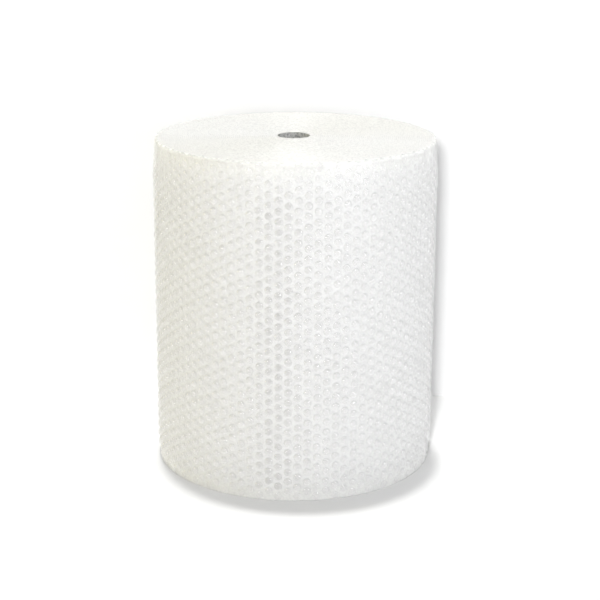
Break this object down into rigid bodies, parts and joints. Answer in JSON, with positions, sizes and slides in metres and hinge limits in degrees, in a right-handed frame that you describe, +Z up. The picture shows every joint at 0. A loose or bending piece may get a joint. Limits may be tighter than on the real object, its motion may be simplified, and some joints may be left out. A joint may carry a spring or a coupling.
{
  "type": "bubble wrap roll",
  "caption": "Standing roll of clear bubble wrap: a wide cylinder of film wound in turns, with columns of round air bubbles outside and a plain hole along the middle.",
  "frame": {"origin": "on the axis of the hole, in the plane that the roll stands on", "axes": "+Z up along the hole; +Y towards the back, where the sheet's outer edge ends; -Y is the front"},
  "size_m": [0.4289, 0.4313, 0.5],
  "materials": {
    "bubble_film": "clear polyethylene film, milky where many turns lie over each other"
  },
  "bodies": {
    "root": {"bubble_wrap_roll": "bubble_film"}
  },
  "joints": []
}
